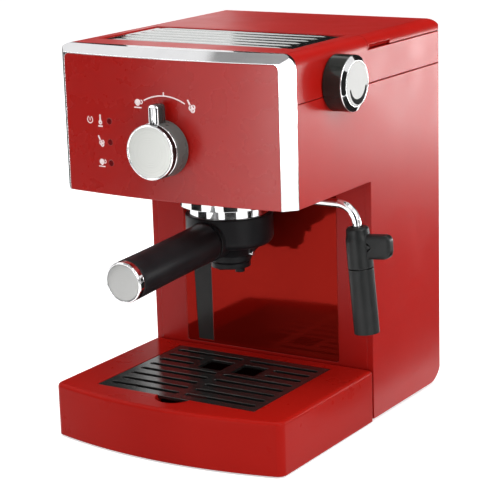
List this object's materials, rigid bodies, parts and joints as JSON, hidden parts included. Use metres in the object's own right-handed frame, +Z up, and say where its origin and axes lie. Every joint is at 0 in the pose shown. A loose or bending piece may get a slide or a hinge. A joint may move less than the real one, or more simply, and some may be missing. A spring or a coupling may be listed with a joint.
{
  "type": "espresso machine",
  "caption": "Home espresso machine: red C-shaped body with a chrome-framed panel, bayonet portafilter, swivelling steam wand, drip tray and lift-out water tank.",
  "frame": {"origin": "middle of the machine's whole box at the height of the worktop", "axes": "+X to the machine's own left-to-right as seen from its front, +Y from the front to the back, +Z up"},
  "size_m": [0.2446, 0.2955, 0.297],
  "materials": {
    "housing_red": "gloss",
    "panel_red": "high gloss",
    "tray_red": "gloss",
    "bezel_chrome": "polished",
    "plate_steel": "brushed",
    "smoked_window": "clear, smoked",
    "base_black": "satin",
    "foot_rubber": "matt",
    "screw_steel": "plain",
    "tank_clear": "clear, smoked",
    "knob_chrome": "polished",
    "knob_satin": "satin",
    "shaft_steel": "plain",
    "switch_cream": "satin",
    "lamp_red": "gloss",
    "board_green": "satin",
    "valve_brass": "machined",
    "pipe_copper": "plain",
    "group_chrome": "polished",
    "boiler_aluminium": "cast",
    "drive_black": "satin",
    "hose_silicone": "matt",
    "handle_black": "satin",
    "wand_chrome": "polished",
    "frother_black": "semi-gloss",
    "grid_steel": "brushed, dark"
  },
  "bodies": {
    "housing": {"left_side": "housing_red", "right_side": "housing_red", "column_shell": "housing_red", "back_shell": "housing_red", "top_housing": "housing_red", "front_panel": "panel_red", "front_bezel": "bezel_chrome", "cup_plate": "plate_steel", "niche_panel": "panel_red", "level_window": "smoked_window", "base_plate": "base_black", "rubber_feet": "foot_rubber", "base_screws": "screw_steel", "tank_dock": "base_black", "selector_switch": "switch_cream", "lamp_lenses": "lamp_red", "lamp_board": "board_green", "steam_valve": "valve_brass", "steam_pipes": "pipe_copper", "swivel_socket": "valve_brass", "group_ring": "group_chrome", "group_gasket": "foot_rubber", "shower_screen": "shaft_steel", "shower_screw": "screw_steel", "boiler": "boiler_aluminium", "boiler_cover": "boiler_aluminium", "boiler_screws": "screw_steel", "thermostats": "drive_black", "pump": "valve_brass", "pump_coil": "drive_black", "pump_mounts": "foot_rubber", "suction_hose": "hose_silicone", "pressure_hose": "hose_silicone", "control_board": "board_green", "cord_gland": "drive_black", "switch_case": "drive_black"},
    "tank": {"water_tank": "tank_clear", "tank_valve": "base_black"},
    "lid": {"tank_lid": "housing_red", "hinge_pins": "screw_steel"},
    "selector": {"selector_knob": "knob_chrome", "selector_disc": "knob_satin", "selector_shaft": "shaft_steel"},
    "steam_control": {"steam_knob": "knob_chrome", "steam_knob_disc": "knob_satin", "steam_stem": "valve_brass"},
    "portafilter": {"filter_holder": "group_chrome", "filter_basket": "shaft_steel", "portafilter_body": "handle_black", "handle": "handle_black", "handle_cap": "knob_chrome", "handle_stud": "screw_steel", "spout": "handle_black", "valve_pin": "group_chrome"},
    "wand": {"steam_tube": "wand_chrome", "frother_grip": "frother_black"},
    "sleeve": {"frother_sleeve": "frother_black"},
    "tray": {"drip_tray": "tray_red"},
    "grid": {"drip_grid": "grid_steel"},
    "rocker": {"power_rocker": "drive_black"}
  },
  "joints": [
    {"name": "tank_lift", "type": "slide", "parent": "housing", "child": "tank", "axis": [0, 0, 1], "range_m": [0, 0.2]},
    {"name": "lid_hinge", "type": "hinge", "parent": "tank", "child": "lid", "pos_m": [-0.07431, 0.14504, 0.2895], "axis": [-1, 0, 0], "range_deg": [0, 90]},
    {"name": "selector_turn", "type": "hinge", "parent": "housing", "child": "selector", "pos_m": [-0.02231, -0.09419, 0.2275], "axis": [0, 1, 0], "range_deg": [-35, 35]},
    {"name": "steam_turn", "type": "hinge", "parent": "housing", "child": "steam_control", "pos_m": [0.07769, -0.01819, 0.27], "axis": [1, 0, 0], "range_deg": [0, 320]},
    {"name": "portafilter_turn", "type": "hinge", "parent": "housing", "child": "portafilter", "pos_m": [-0.02231, -0.00819, 0.18], "axis": [0, 0, 1], "range_deg": [-50, 0]},
    {"name": "wand_swivel", "type": "hinge", "parent": "housing", "child": "wand", "pos_m": [0.04969, -0.01919, 0.195], "axis": [0, 0, 1], "range_deg": [-80, 30]},
    {"name": "sleeve_slide", "type": "slide", "parent": "wand", "child": "sleeve", "axis": [0.0872, 0, -0.9962], "range_m": [0, 0.03]},
    {"name": "tray_pull", "type": "slide", "parent": "housing", "child": "tray", "axis": [0, -1, 0], "range_m": [0, 0.12]},
    {"name": "grid_lift", "type": "slide", "parent": "tray", "child": "grid", "axis": [0, 0, 1], "range_m": [0, 0.03]},
    {"name": "rocker_tip", "type": "hinge", "parent": "housing", "child": "rocker", "pos_m": [0.03969, 0.14331, 0.066], "axis": [1, 0, 0], "range_deg": [-7, 7]}
  ]
}
